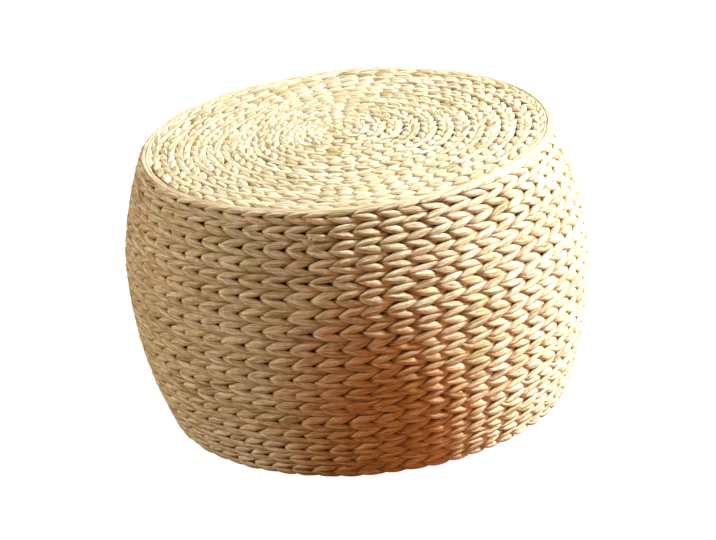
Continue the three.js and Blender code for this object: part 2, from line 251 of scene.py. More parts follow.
def shape(column, x):
    """A column of the loop, by name, at places along it."""
    return np.interp((x - HEAD) % LOOP_STAKES + HEAD, *COLUMNS[column])


# How wide and thick the strands are, how deep they go, how steeply, how square their
# section is, how far they roll, and how strongly painted shade darkens them with depth.
SIDE_SPEC = dict(wide=1.06, thick=1.0, depth=1.0, power=1.0, square=0.9, roll=1.0, shade=0.85)
SEAT_SPEC = dict(wide=1.07, thick=0.58, depth=0.8, power=1.1, square=0.72, roll=0.4, shade=0.4)

# How far crossings and lobes differ: a crossing across its row and along it, and a lobe in
# width, thickness, height across the row, depth in millimetres, roll in degrees and in the
# ridges along it. A lobe differs most in front of its stake and not at all at its ends.
CROSSING_SHIFT = 0.07
CROSSING_SLIDE = 0.045
LOBE_WIDTH = (-0.13, 0.07)
LOBE_THICKNESS = (-0.16, 0.16)
LOBE_BELLY = (-0.11, 0.11)
LOBE_SUNK = (-0.35, 0.45)
LOBE_ROLL = 8
LOBE_RIDGES = 0.045
LOBE_END = 0.6

# A half row lower than this has thinner strands. Each strand's texture starts anywhere
# within the run.
FULL_HALF = 4.2
TEXTURE_RUN = 1000


def twined(skin, path, first, last, twist, parity, spec, seed):
    """One of the two strands of a half row, over stakes first to last. It passes in front
    of every other stake and behind the ones between, and crosses its fellow between them."""
    r = np.random.default_rng(seed)
    lobes = np.arange(first + parity, last, LOOP_STAKES)
    phases = np.concatenate([np.linspace(HEAD, TAIL, FRONT_STEPS, endpoint=False),
                             np.linspace(TAIL, NEXT_HEAD, BACK_STEPS, endpoint=False)])
    t = np.append((lobes[:, None] + phases).ravel(), lobes[-1] + HEAD + LOOP_STAKES)
    x = np.append(np.tile(phases, len(lobes)), NEXT_HEAD)
    which = np.append(np.repeat(np.arange(len(lobes)), len(phases)), len(lobes) - 1)
    near = np.clip(1 - (x / LOBE_END) ** 2, 0, 1)

    def differing(limits):
        return r.uniform(*limits, len(lobes))[which] * near

    cross_at = np.arange(first - 2, last + 4) + 0.5
    shift = np.interp(t, cross_at, r.normal(0, CROSSING_SHIFT, len(cross_at)))
    slide = np.interp(t, cross_at, r.normal(0, CROSSING_SLIDE, len(cross_at)))
    place, outward, up, half = path(t + slide)
    full = np.minimum(half / FULL_HALF, 1.0)
    wide_scale = 1 + differing(LOBE_WIDTH)
    thick_scale = 1 + differing(LOBE_THICKNESS)
    belly = differing(LOBE_BELLY)
    sunk = differing(LOBE_SUNK)
    half_wide = half * shape("wide", x) * spec["wide"] * wide_scale
    half_thick = full * shape("thick", x) * spec["thick"] * thick_scale
    depth = DEEPEST * spec["depth"] * (np.maximum(shape("depth", x), 0) / DEEPEST) ** spec["power"]
    depth = full * (depth + sunk) + half_thick
    uneven_roll = LOBE_ROLL * r.normal(size=len(lobes))[which] * near
    roll = twist * np.radians(spec["roll"] * (shape("roll", x) + uneven_roll))
    rise = twist * half * (shape("rise", x) + belly) + half * shift
    line = place - outward * depth[:, None] + up * rise[:, None]
    along = unit(np.gradient(line, axis=0))
    across = unit(up - along * np.sum(up * along, -1, keepdims=True))
    across = across * np.cos(roll)[:, None] + np.cross(along, across) * np.sin(roll)[:, None]
    wide, thick = section(spec["square"])
    ridge = 1 + LOBE_RIDGES * r.normal(size=(len(lobes), AROUND))[which] * near[:, None]
    u = half_wide[:, None] * wide * ridge
    v = half_thick[:, None] * thick * ridge
    rings, strand = swept(line, across, np.cross(along, across), u, v, TEXTURE_RUN * r.random())
    tone = r.random(len(lobes))[which][:, None]
    # Painted shade: each point is darkened by its depth behind the face.
    below = depth[:, None] - v * np.cos(roll)[:, None] - u * np.sin(roll)[:, None]
    skin.tube(rings, strand, tone, below * spec["shade"])


def twined_row(skin, path_of, first, last, spec, seed):
    """A row: two half rows of two strands each, with their slants mirrored."""
    for mirrored in (True, False):
        for parity in (0, 1):
            twined(skin, path_of(mirrored), first, last, 1 if mirrored else -1, parity,
                   spec, seed + 2 * parity + mirrored)


# Weave of the side: the heights where the two slants of each row meet, from the top.
STAKES = 60
STAKE_STEP = 360.0 / STAKES
FIRST_STAKE = 3.2
ROW_MEETS = [294.3, 279.9, 263.1, 246.4, 230.9, 214.3, 195.3, 178.5, 160.0, 142.5,
             124.6, 107.5, 92.1, 72.7, 55.1, 38.3, 24.0, 9.9]
ROW_TOP = 299.4
ROW_BOTTOM = 0.9

# A row comes down to the height of the next one at the back, between these azimuths.
DESCENT_START = 165.0
DESCENT_END = 210.0

# A row thins out where it starts or ends, but no further than this half height. Its line
# stays this many half heights inside the stool's foot and top.
LEAST_HALF = 0.9
CLEAR_SHARE = 1.2

# The rows sway up and down, less and less towards these heights.
SWAY = 0.7
SWAY_LOWEST = 2
SWAY_HIGHEST = 297
SWAY_FADE = 20

# The columns of stitches wander, by shares of the step between stakes: slowly round the
# stool, with a lean up its side, and faster up its side, with a lean round it.
ROUND_WANDER = 0.10
ROUND_LEAN = 0.03
UPWARD_WANDER = 0.06
UPWARD_UNIT = 16.0
UPWARD_LEAN = 0.2


def column_wander(t, z):
    slow = ROUND_WANDER * wave(t + ROUND_LEAN * z, seed=11, waves=6, longest=23.0)
    fast = wave(z / UPWARD_UNIT + UPWARD_LEAN * t, seed=12, waves=5, longest=7.0)
    return slow + UPWARD_WANDER * fast


def side_path(turn, upper):
    meets = np.array([ROW_TOP] + ROW_MEETS + [ROW_BOTTOM])
    edges = np.array([ROW_TOP] + [(a + b) / 2 for a, b in zip(ROW_MEETS, ROW_MEETS[1:])]
                     + [ROW_BOTTOM])

    def path(t):
        azimuth = FIRST_STAKE + STAKE_STEP * t
        row = turn + smooth((azimuth - DESCENT_START) / (DESCENT_END - DESCENT_START))
        meet = np.interp(row, np.arange(-1, len(ROW_MEETS) + 1), meets)
        edge = np.interp(row if upper else row + 1, np.arange(len(edges)), edges)
        sway = SWAY * wave(t, seed=100, waves=5, longest=25.0)
        sway = sway * smooth((meet - SWAY_LOWEST) / SWAY_FADE)
        sway = sway * smooth((SWAY_HIGHEST - meet) / SWAY_FADE)
        half = np.maximum(np.abs(edge - meet) / 2, LEAST_HALF)
        z = np.clip((meet + edge) / 2 + sway, CLEAR_SHARE * half, HEIGHT - CLEAR_SHARE * half)
        slope = (profile_radius(z + 1) - profile_radius(z - 1)) / 2
        azimuth = azimuth + STAKE_STEP * column_wander(t, z)
        radial = polar(1.0, azimuth, 0.0)
        up = unit(radial * slope[:, None] + UP)
        outward = unit(radial - UP * slope[:, None])
        return polar(profile_radius(z), azimuth, z), outward, up, half

    return path


# Seat: a spiral of rows, about an eye that lies left of the middle and behind it.
SEAT_PITCH = 16.5
SEAT_LINE_AT_RIGHT = 207.3
SEAT_EDGE = 214.6
SEAT_END = 285.0
SEAT_START_RADIUS = 5.0
SEAT_LEAST_RADIUS = 0.5
EYE = np.array([-10.0, 28.0])
EYE_REACH = 118.0
KNOT_RADIUS = 4.5

# Stitches in a round of the seat, outside each radius, and inside them all.
SEAT_ROUNDS = ((146, 60), (104, 48), (71, 36), (47, 26), (27, 18), (14, 12))
EYE_ROUND = 8

# The seat's rows swing in and out, less and less towards its edge, its columns of stitches
# wander by shares of a stitch, and its top dips.
SWING = 0.5
SWING_UNIT = 30.0
SWING_OUTERMOST = 205
SWING_FADE = 20
STITCH_WANDER = 0.08
STITCH_LENGTH = 17
LEAST_STITCHES = 12
SEAT_DIP = 0.25
SEAT_DIP_UNIT = 40


def seat_line(angle):
    """Radius of the line where a row's two slants meet, at an unwound angle in degrees."""
    return SEAT_LINE_AT_RIGHT + SEAT_PITCH * (angle - 90.0) / 360.0


seat_start = 90.0 - 360.0 * (SEAT_LINE_AT_RIGHT - SEAT_START_RADIUS) / SEAT_PITCH
seat_angles = np.arange(seat_start, SEAT_END + 1.0, 1.0)
seat_counts = np.select([seat_line(seat_angles) > radius for radius, _ in SEAT_ROUNDS],
                        [count for _, count in SEAT_ROUNDS], EYE_ROUND)
seat_stitches = np.concatenate([[0], np.cumsum(seat_counts[:-1] / 360.0)])


def seat_path(inner):
    def path(t):
        angle = np.interp(t, seat_stitches, seat_angles)
        line = seat_line(angle)
        edge = line - SEAT_PITCH / 2 if inner else line + SEAT_PITCH / 2
        line = np.clip(line, SEAT_LEAST_RADIUS, SEAT_EDGE)
        edge = np.clip(edge, SEAT_LEAST_RADIUS, SEAT_EDGE)
        radius = (line + edge) / 2
        half = np.abs(edge - line) / 2
        swing = SWING * wave(angle / SWING_UNIT, seed=31, waves=5, longest=12.0)
        radius = radius + swing * smooth((SWING_OUTERMOST - radius) / SWING_FADE)
        drift = np.clip(1 - (radius - KNOT_RADIUS) / EYE_REACH, 0, 1)[:, None] * EYE
        stitch = 360.0 / np.maximum(LEAST_STITCHES, 2 * math.pi * radius / STITCH_LENGTH)
        azimuth = angle + stitch * STITCH_WANDER * wave(t, seed=33, waves=5, longest=19.0)
        dip = SEAT_DIP * (1 + wave(angle / SEAT_DIP_UNIT, seed=35, waves=4, longest=11.0))
        place = polar(radius, azimuth, HEIGHT - dip)
        place[:, :2] += drift
        return place, UP, -polar(1.0, azimuth, 0.0), half

    return path


# Materials.
def linear(colour):
    """A colour as written for a screen, each part from 0 to 255, as linear light."""
    def one(c):
        c /= 255
        return c / 12.92 if c <= 0.04045 else ((c + 0.055) / 1.055) ** 2.4
    return tuple(one(c) for c in colour)


# The numbers of a Mix node's sockets, when it mixes colours.
MIX_FACTOR, MIX_A, MIX_B, MIX_RESULT = 0, 6, 7, 2
WHITE = (1.0, 1.0, 1.0)


class Shade:
    """One material's node tree, with short ways to add the nodes that are used here."""

    def __init__(self, name, roughness, specular=0.5):
        self.material = bpy.data.materials.new(name)
        self.material.use_nodes = True
        self.tree = self.material.node_tree
        self.shader = self.tree.nodes["Principled BSDF"]
        self.shader.inputs["Roughness"].default_value = roughness
        self.shader.inputs["Specular IOR Level"].default_value = specular

    def node(self, kind, **values):
        made = self.tree.nodes.new(kind)
        for key, value in values.items():
            setattr(made, key, value)
        return made

    def link(self, source, socket):
        self.tree.links.new(source, socket)

    def feed(self, value, socket):
        """Links an output to a socket, or sets the socket to a colour or a number."""
        if hasattr(value, "links"):
            self.link(value, socket)
        elif isinstance(value, tuple):
            socket.default_value = (*value, 1)
        else:
            socket.default_value = value

    def attribute(self, name, output="Fac"):
        return self.node("ShaderNodeAttribute", attribute_name=name).outputs[output]

    def place(self):
        return self.node("ShaderNodeTexCoord").outputs["Object"]

    def part_of(self, vector, axis):
        made = self.node("ShaderNodeSeparateXYZ")
        self.link(vector, made.inputs[0])
        return made.outputs[axis]

    def mapped(self, vector, scale, location=(0, 0, 0)):
        mapping = self.node("ShaderNodeMapping")
        mapping.inputs["Scale"].default_value = scale
        mapping.inputs["Location"].default_value = location
        self.link(vector, mapping.inputs["Vector"])
        return mapping.outputs["Vector"]

    def noise(self, vector, detail, rough=0.6):
        noise = self.node("ShaderNodeTexNoise")
        noise.inputs["Scale"].default_value = 1.0
        noise.inputs["Detail"].default_value = detail
        noise.inputs["Roughness"].default_value = rough
        self.link(vector, noise.inputs["Vector"])
        return noise.outputs["Fac"]

    def ramp(self, source, stops):
        made = self.node("ShaderNodeValToRGB")
        while len(made.color_ramp.elements) < len(stops):
            made.color_ramp.elements.new(0.5)
        for element, (at, colour) in zip(made.color_ramp.elements, stops):
            element.position = at
            element.color = (*colour, 1)
        self.link(source, made.inputs["Fac"])
        return made.outputs["Color"]

    def stretch(self, source, low, high):
        """Values from low to high, eased, as 0 to 1."""
        made = self.node("ShaderNodeMapRange", interpolation_type="SMOOTHSTEP")
        made.inputs["From Min"].default_value = low
        made.inputs["From Max"].default_value = high
        self.link(source, made.inputs["Value"])
        return made.outputs["Result"]

    def maths(self, operation, *values):
        made = self.node("ShaderNodeMath", operation=operation)
        for value, socket in zip(values, made.inputs):
            self.feed(value, socket)
        return made.outputs[0]

    def mix(self, kind, factor, a, b):
        made = self.node("ShaderNodeMix", data_type="RGBA", blend_type=kind)
        self.feed(factor, made.inputs[MIX_FACTOR])
        self.feed(a, made.inputs[MIX_A])
        self.feed(b, made.inputs[MIX_B])
        return made.outputs[MIX_RESULT]

    def finish(self, colour, height, strength, distance):
        self.link(colour, self.shader.inputs["Base Color"])
        bump = self.node("ShaderNodeBump")
        bump.inputs["Strength"].default_value = strength
        bump.inputs["Distance"].default_value = distance
        self.link(height, bump.inputs["Height"])
        self.link(bump.outputs["Normal"], self.shader.inputs["Normal"])
        return self.material


# Streaks of fibre: how often they change along a strand and across it, per millimetre, and
# the detail of their noise.
BROAD_STREAKS = (0.03, 0.42, 3)
COARSE_STREAKS = (0.035, 0.75, 2)
FINE_STREAKS = (0.05, 2.4, 4)
RELIEF_STREAKS = (0.06, 2.0, 5)

# What the streaks and patches multiply a colour by, and how strongly they do.
COARSE_TINTS = [(0.36, (0.62, 0.53, 0.40)), (0.58, (1.10, 1.08, 1.05))]
FINE_TINTS = [(0.34, (0.56, 0.50, 0.41)), (0.58, (1.08, 1.08, 1.08))]
PATCH_TINTS = [(0.36, (0.97, 0.95, 0.80)), (0.5, WHITE), (0.64, (1.04, 0.98, 0.94))]
BROAD_SHARE = 0.58
COARSE_SHARE = 0.75
FINE_SHARE = 0.9
PATCH_SHARE = 0.9
PATCH_SCALE = (26, 26, 40)

# Depths where the painted shade colour sets in and where it is full, in millimetres.
DEEP_FROM, DEEP_FULL = 0.8, 6.4

# Painted shade: a soft warm brown patch low on the front, about this place, darkens the
# straw where it lies in warm shadow.
PAINTED_SHADE_TINT = (0.83, 0.60, 0.41)
PAINTED_SHADE_PLACE = (0.005, -0.235, 0.03)
PAINTED_SHADE_REACH = (0.14, 0.15, 0.22)
PAINTED_SHADE_SCALE = (30, 30, 60)
PAINTED_SHADE_UNEVEN = 0.4
PAINTED_SHADE_FROM, PAINTED_SHADE_FULL = 0.2, 0.85


def painted_warm_shade(shade):
    """How much painted warm shade the straw gets, from 0 to 1."""
    scale = [1 / reach for reach in PAINTED_SHADE_REACH]
    location = [-place * k for place, k in zip(PAINTED_SHADE_PLACE, scale)]
    place = shade.place()
    ball = shade.node("ShaderNodeTexGradient", gradient_type="SPHERICAL")
    shade.link(shade.mapped(place, scale, location), ball.inputs["Vector"])
    uneven = shade.noise(shade.mapped(place, PAINTED_SHADE_SCALE), detail=3)
    amount = shade.maths("MULTIPLY_ADD", uneven, PAINTED_SHADE_UNEVEN, ball.outputs["Fac"])
    return shade.stretch(amount, PAINTED_SHADE_FROM, PAINTED_SHADE_FULL)


def fibre_material(name, tones, shade_and_ring_colour, roughness, specular, sheen=0.0, with_painted_shade=False):
    """Straw, cane or peel. The strand attribute runs along and across each strand, tone
    differs from lobe to lobe, and deep is the depth behind the face in millimetres, by which
    painted shade darkens it; on cane, deep holds its real dark rings instead."""
    pale, mid, dark, rosy, green = (linear(tone) for tone in tones)
    shade = Shade(name, roughness, specular)
    shade.shader.inputs["Sheen Weight"].default_value = sheen
    strand = shade.attribute("strand", "Vector")

    def fibre(along, across, detail):
        return shade.noise(shade.mapped(strand, (along, across, across)), detail)

    lobe = shade.ramp(shade.attribute("tone"), [
        (0.0, mid), (0.3, pale), (0.5, mid), (0.62, rosy), (0.75, pale), (0.88, green), (1.0, dark)])
    broad = shade.ramp(fibre(*BROAD_STREAKS), [(0.38, dark), (0.49, mid), (0.58, pale)])
    colour = shade.mix("MIX", BROAD_SHARE, lobe, broad)
    coarse = shade.ramp(fibre(*COARSE_STREAKS), COARSE_TINTS)
    colour = shade.mix("MULTIPLY", COARSE_SHARE, colour, coarse)
    fine = shade.ramp(fibre(*FINE_STREAKS), FINE_TINTS)
    colour = shade.mix("MULTIPLY", FINE_SHARE, colour, fine)
    # Painted shade: the deeper a point lies, the more of the shade colour it gets. On cane the same
    # mix gives its real dark rings.
    deep = shade.stretch(shade.attribute("deep"), DEEP_FROM, DEEP_FULL)
    colour = shade.mix("MIX", deep, colour, linear(shade_and_ring_colour))
    patches = shade.noise(shade.mapped(shade.place(), PATCH_SCALE), detail=3)
    colour = shade.mix("MULTIPLY", PATCH_SHARE, colour, shade.ramp(patches, PATCH_TINTS))
    # Painted warm shade, low on the front.
    if with_painted_shade:
        colour = shade.mix("MULTIPLY", painted_warm_shade(shade), colour, PAINTED_SHADE_TINT)
    return shade.finish(colour, fibre(*RELIEF_STREAKS), strength=0.9, distance=0.0008)


# Wood: streaks finer than its grain, and the tints of the layers of plywood.
FINER = 8
WOOD_TINTS = [(0.35, (0.72, 0.66, 0.6)), (0.6, (1.04, 1.02, 1.0))]
WOOD_SHARE = 0.7
PLY_COUNT = 5
GLUE = (0.5, 0.4, 0.3)
CROSS_PLY = (0.8, 0.72, 0.62)
PLY_TINTS = [(0.0, WHITE), (0.46, WHITE), (0.5, GLUE), (0.54, CROSS_PLY), (0.96, CROSS_PLY),
             (1.0, GLUE)]
FACE_FLAT, EDGE_FLAT = 0.9, 0.4


def wood_material(name, pale, dark, stretched, plies=None):
    """Sawn wood with its grain stretched along an axis. Plies, if given, are the lowest
    and highest z of a plywood panel, whose edge shows its layers."""
    shade = Shade(name, roughness=0.62, specular=0.35)
    place = shade.place()
    pale, dark = linear(pale), linear(dark)
    grain = shade.noise(shade.mapped(place, stretched), detail=6, rough=0.62)
    colour = shade.ramp(grain, [(0.36, dark), (0.5, pale), (0.64, dark)])
    fine = shade.noise(shade.mapped(place, [FINER * k for k in stretched]), detail=3)
    colour = shade.mix("MULTIPLY", WOOD_SHARE, colour, shade.ramp(fine, WOOD_TINTS))
    if plies:
        low, high = plies
        pairs = PLY_COUNT / 2 / (high - low)
        height = shade.part_of(shade.mapped(place, (0, 0, pairs), (0, 0, -low * pairs)), "Z")
        tint = shade.ramp(shade.maths("FRACT", height), PLY_TINTS)
        normal = shade.node("ShaderNodeNewGeometry").outputs["Normal"]
        flat = shade.maths("ABSOLUTE", shade.part_of(normal, "Z"))
        edge = shade.stretch(flat, FACE_FLAT, EDGE_FLAT)
        colour = shade.mix("MULTIPLY", edge, colour, tint)
    return shade.finish(colour, grain, strength=0.35, distance=0.0004)


SCRATCH_SCALE = (900, 900, 5000)
STEEL_TINTS = [(0.3, (0.42, 0.41, 0.39)), (0.7, (0.62, 0.61, 0.59))]


def steel_material(name):
    shade = Shade(name, roughness=0.36)
    shade.shader.inputs["Metallic"].default_value = 1.0
    scratches = shade.noise(shade.mapped(shade.place(), SCRATCH_SCALE), detail=3)
    colour = shade.ramp(scratches, STEEL_TINTS)
    return shade.finish(colour, scratches, strength=0.25, distance=0.0001)


# Tones are pale, mid, dark, rosy and green.
straw = fibre_material(
    "straw", shade_and_ring_colour=(164, 123, 78), roughness=0.58, specular=0.22, with_painted_shade=True,
    tones=((243, 232, 209), (220, 203, 168), (150, 116, 74), (230, 204, 174), (213, 200, 152)))
rim_straw = fibre_material(
    "rim_straw", shade_and_ring_colour=(140, 92, 52), roughness=0.52, specular=0.35, sheen=0.12,
    tones=((232, 214, 184), (220, 194, 158), (190, 156, 118), (222, 192, 160), (216, 200, 158)))
frame_cane = fibre_material(
    "frame_cane", shade_and_ring_colour=(96, 60, 28), roughness=0.34, specular=0.5,
    tones=((214, 178, 118), (202, 162, 100), (168, 124, 68), (204, 158, 104), (198, 170, 104)))
cane_peel = fibre_material(
    "cane_peel", shade_and_ring_colour=(110, 74, 36), roughness=0.4, specular=0.5,
    tones=((222, 194, 140), (208, 176, 120), (176, 138, 84), (212, 172, 122), (206, 182, 124)))
stake_cane = wood_material("stake_cane", (196, 160, 108), (146, 108, 64), (260, 260, 18))

# The side, from the rim down. The first piece also holds the row that starts at the rim.
# Every row runs once round from the back, and comes down to the height of the next one at
# its end. The row at the rim is only such an end.
SIDE_PIECES = 6
SIDE_SEED = 1000
ROW_FIRST, ROW_LAST = -25, 35
RIM_ROW, RIM_ROW_FIRST = -1, 27
rows_each = math.ceil(len(ROW_MEETS) / SIDE_PIECES)
for piece in range(SIDE_PIECES):
    skin = Skin()
    turns = range(piece * rows_each, min((piece + 1) * rows_each, len(ROW_MEETS)))
    for turn in ([RIM_ROW] if piece == 0 else []) + list(turns):
        twined_row(skin, lambda upper: side_path(turn, upper),
                   RIM_ROW_FIRST if turn == RIM_ROW else ROW_FIRST, ROW_LAST,
                   SIDE_SPEC, SIDE_SEED + 10 * (turn + 2))
    skin.build(f"side_weave_{piece + 1}", straw, "straw", "side_winding")

# The seat, from its eye outwards, in pieces with as many stitches each.
SEAT_PIECES = 3
SEAT_SEED = 5000
last_stitch = int(seat_stitches[-1])
cuts = [last_stitch * piece // SEAT_PIECES // 2 * 2 for piece in range(SEAT_PIECES + 1)]
for piece in range(SEAT_PIECES):
    skin = Skin()
    twined_row(skin, seat_path, cuts[piece], cuts[piece + 1], SEAT_SPEC, SEAT_SEED + 10 * piece)
    skin.build(f"seat_weave_{piece + 1}", straw, "straw", "seat_winding")

# The rim. One strand lies along the edge, and a thinner one closes the joint to the seat.
RIM_STRANDS = (dict(radius=216.9, z=296.7, half=3.4, seed=70),
               dict(radius=213.4, z=297.6, half=2.2, seed=71))
RIM_START = 172.0
RIM_OVERLAP = 8.0
RIM_STEPS = 480
RIM_SWAY_OUT, RIM_OUT_UNIT = 0.4, 20
RIM_SWAY_UP, RIM_UP_UNIT = 0.35, 14
RIM_SWELL, RIM_SWELL_UNIT = 0.09, 9
RIM_TONE, RIM_TONE_UNIT = 0.3, 15
RIM_END = 0.35
RIM_FLAT = 0.92
RIM_BUMPS = 0.03
RIM_SHADE = 0.3
skin = Skin()
for spec in RIM_STRANDS:
    azimuth = np.linspace(RIM_START, RIM_START + 360 + RIM_OVERLAP, RIM_STEPS + 1)
    ends = np.minimum(azimuth - azimuth[0], azimuth[-1] - azimuth) / RIM_OVERLAP
    seed = spec["seed"]
    sway_out = RIM_SWAY_OUT * wave(azimuth / RIM_OUT_UNIT, seed - 10, waves=4, longest=18.0)
    sway_up = RIM_SWAY_UP * wave(azimuth / RIM_UP_UNIT, seed + 40, waves=4, longest=18.0)
    line = polar(spec["radius"] + sway_out, azimuth, spec["z"] + sway_up)
    swell = RIM_SWELL * wave(azimuth / RIM_SWELL_UNIT, seed, waves=5, longest=10.0)
    half = spec["half"] * (1 + swell)
    half = half * (RIM_END + (1 - RIM_END) * smooth(ends))
    rings, strand, v = tube_rings(line, unit(polar(1.0, azimuth, 1.0)), half, half * RIM_FLAT,
                                  RIM_BUMPS, seed + 10)
    tone = RIM_TONE * wave(azimuth / RIM_TONE_UNIT, seed + 20, waves=4, longest=9.0)
    skin.tube(rings, strand, RIM_TONE + tone[:, None], -v * RIM_SHADE)
skin.build("rim_strands", rim_straw, "rim_straw", "rim_cord")

# Fine fibres that stand off the straw here and there, and one tuft below the rim.
STRAY_SEED = 2026
STRAY_SIDE, STRAY_SEAT = 90, 30
STRAY_POINTS = 9
STRAY_BOW = 0.12
STRAY_ARCH = (0.55, 0.95)
STRAY_ROOT = 0.8
STRAY_TAPER = 0.75
STRAY_FLAT = 0.5
STRAY_BUMPS = 0.05
STRAY_TONE = (0.2, 0.4)
TUFT_AZIMUTH, TUFT_Z = -12.6, 273.5
TUFT_SIDEWAYS, TUFT_DOWNWARDS = 9, 4
TUFT_ROOT_ASIDE, TUFT_ROOT_ABOVE = 1.2, 3.5


def stray(skin, r, azimuth, length, lean, lift, half, z=None, radius=None):
    """A fibre from a height on the side, or from a radius on the seat, leaning off it."""
    s = np.linspace(0, 1, STRAY_POINTS)
    run = length * s * math.cos(lean)
    rise = length * s * math.sin(lean)
    rise = rise + STRAY_BOW * length * r.normal() * np.sin(math.pi * s)
    height = lift * np.sin(math.pi * s * r.uniform(*STRAY_ARCH)) - STRAY_ROOT
    if radius is None:
        across = profile_radius(z + rise)
        line = polar(across + height, azimuth + np.degrees(run / across), z + rise)
        outward = polar(1.0, azimuth, 0.0)
    else:
        line = polar(radius + rise, azimuth + np.degrees(run / radius), HEIGHT + height)
        outward = UP
    taper = half * (1 - STRAY_TAPER * s)
    rings, strand, _ = tube_rings(line, outward, taper, taper * STRAY_FLAT, STRAY_BUMPS,
                                  int(r.integers(1e6)))
    skin.tube(rings, strand, r.uniform(*STRAY_TONE), 0.0)


skin = Skin()
r = np.random.default_rng(STRAY_SEED)
for _ in range(STRAY_SIDE):
    stray(skin, r, azimuth=r.uniform(0, 360), z=r.uniform(8, 290), length=r.uniform(5, 13),
          lean=r.normal(0, 0.5), lift=r.uniform(0.8, 2.6), half=r.uniform(0.22, 0.45))
for _ in range(STRAY_SEAT):
    stray(skin, r, azimuth=r.uniform(0, 360), length=r.uniform(5, 11), lean=r.normal(0, 0.5),
          lift=r.uniform(0.9, 2.0), half=r.uniform(0.22, 0.4), radius=r.uniform(30, 205))
for _ in range(TUFT_SIDEWAYS):
    stray(skin, r, azimuth=TUFT_AZIMUTH + r.normal(0, 0.8), z=TUFT_Z + r.normal(0, 1.2),
          length=r.uniform(9, 19), lean=r.normal(-0.02, 0.16), lift=r.uniform(2.2, 3.6),
          half=r.uniform(0.4, 0.75))
for _ in range(TUFT_DOWNWARDS):
    stray(skin, r, azimuth=TUFT_AZIMUTH + TUFT_ROOT_ASIDE + r.normal(0, 0.25),
          z=TUFT_Z + TUFT_ROOT_ABOVE, length=r.uniform(8, 12), lean=-1.6 + r.normal(0, 0.12),
          lift=3.4, half=r.uniform(0.4, 0.6))
skin.build("stray_fibres", straw, "straw")

# The bud of wound straw at the seat's eye: a coil, a strand tucked round it and a stem.
# Tops and halves are given with how far they change along the coil and the tuck.
COIL_TURNS = 2.25
COIL_POINTS = 80
COIL_RADIUS, COIL_WIDENS = 0.3, 3.1
COIL_TOP, COIL_DROP = 299.2, 2.4
COIL_HALF, COIL_SWELL = 1.2, 0.8
TUCK_POINTS = 30
TUCK_RADIUS = 6.6
TUCK_START, TUCK_SWEEP = -125, 165
TUCK_TOP, TUCK_DROP = 297.2, 4.5
TUCK_HALF, TUCK_THINS = 3.4, 1.6
STEM_POINTS = 8
STEM_FOOT, STEM_NECK, STEM_TOP = 291.2, 297.0, 298.2
STEM_HALF, STEM_TOP_HALF = 5.2, 3.0
skin = Skin()


def eye_strand(line, outward, half, flat, bumps, seed, tone, deep, fade):
    """A strand about the eye, flat times as thick as it is wide. Deep is how much painted
    shade darkens its middle, and fade how much less of that painted shade its face gets."""
    line[:, :2] += EYE
    rings, strand, v = tube_rings(line, outward, half, half * flat, bumps, seed)
    skin.tube(rings, strand, tone, deep - v * fade)


s = np.linspace(0, 1, COIL_POINTS)
coil = polar(COIL_RADIUS + COIL_WIDENS * s, 360 * COIL_TURNS * s, COIL_TOP - COIL_DROP * s ** 2)
eye_strand(coil, UP, COIL_HALF + COIL_SWELL * s, flat=0.9, bumps=0.06, seed=95,
           tone=0.4, deep=1.2, fade=0.6)
s = np.linspace(0, 1, TUCK_POINTS)
tuck = polar(TUCK_RADIUS, TUCK_START + TUCK_SWEEP * s, TUCK_TOP - TUCK_DROP * (2 * s - 1) ** 4)
eye_strand(tuck, UP, TUCK_HALF - TUCK_THINS * (2 * s - 1) ** 2, flat=0.8, bumps=0.05, seed=97,
           tone=0.25, deep=1.0, fade=0.5)
z = np.linspace(STEM_FOOT, STEM_TOP, STEM_POINTS)
stem_half = np.interp(z, [STEM_FOOT, STEM_NECK, STEM_TOP], [STEM_HALF, STEM_HALF, STEM_TOP_HALF])
# The stem is painted darker all over, as painted shade where it sits low in the eye.
eye_strand(polar(0.0, 0.0, z), RIGHT, stem_half, flat=1.0, bumps=0.05, seed=96,
           tone=0.4, deep=3.0, fade=0.0)
skin.build("eye_bud", rim_straw, "rim_straw", "centre_knot")

# Frame: three cane hoops, with eight ribs lashed inside them.
CANE = 12.0
HOOPS = ("base", "belly", "top")
HOOP_FACETS = 24
HOOP_SEEDS = (200, 210, 220)
HOOP_TURN = 360.3
HOOP_STEPS = 480
HOOP_SWAY, HOOP_SWAY_UNIT = 0.3, 30
HOOP_SWAY_FADE = 20
HOOP_FAR_SIDE = 202.6
RIBS = 8
FIRST_RIB = 22.5
RIB_STEP = 360 / RIBS
RIB_CLEAR = 0.8
RIB_TOP = 275.9
RIB_POINTS = 116
RIB_STRAIGHT = 11.0
RIB_BEND = 14.0
RIB_SWAY, RIB_SWAY_UNIT = 0.12, 40
RIB_SWAY_FADE = 60
RIB_LINE_SEED = 300
RIB_CANE_SEED = 310
facet_share = math.cos(math.pi / HOOP_FACETS)

# A cane has dark swollen rings this far apart, and is pinched just past each of them.
# Swell, pinch, fullness and unevenness are shares of its half thickness.
RING_SPACING = 260.0
RING_EARLIEST = 20
RING_SWELL, RING_REACH = 0.045, 3.0
PINCH, PINCH_PAST, PINCH_REACH = 0.03, 6.0, 4.0
RING_DARK, RING_DARK_REACH = 4.0, 0.9
CANE_FULL = 0.985
CANE_UNEVEN, CANE_UNEVEN_UNIT = 0.008, 25
CANE_BUMPS = 0.004
CANE_TONE, CANE_TONE_SPREAD = 0.2, 0.3


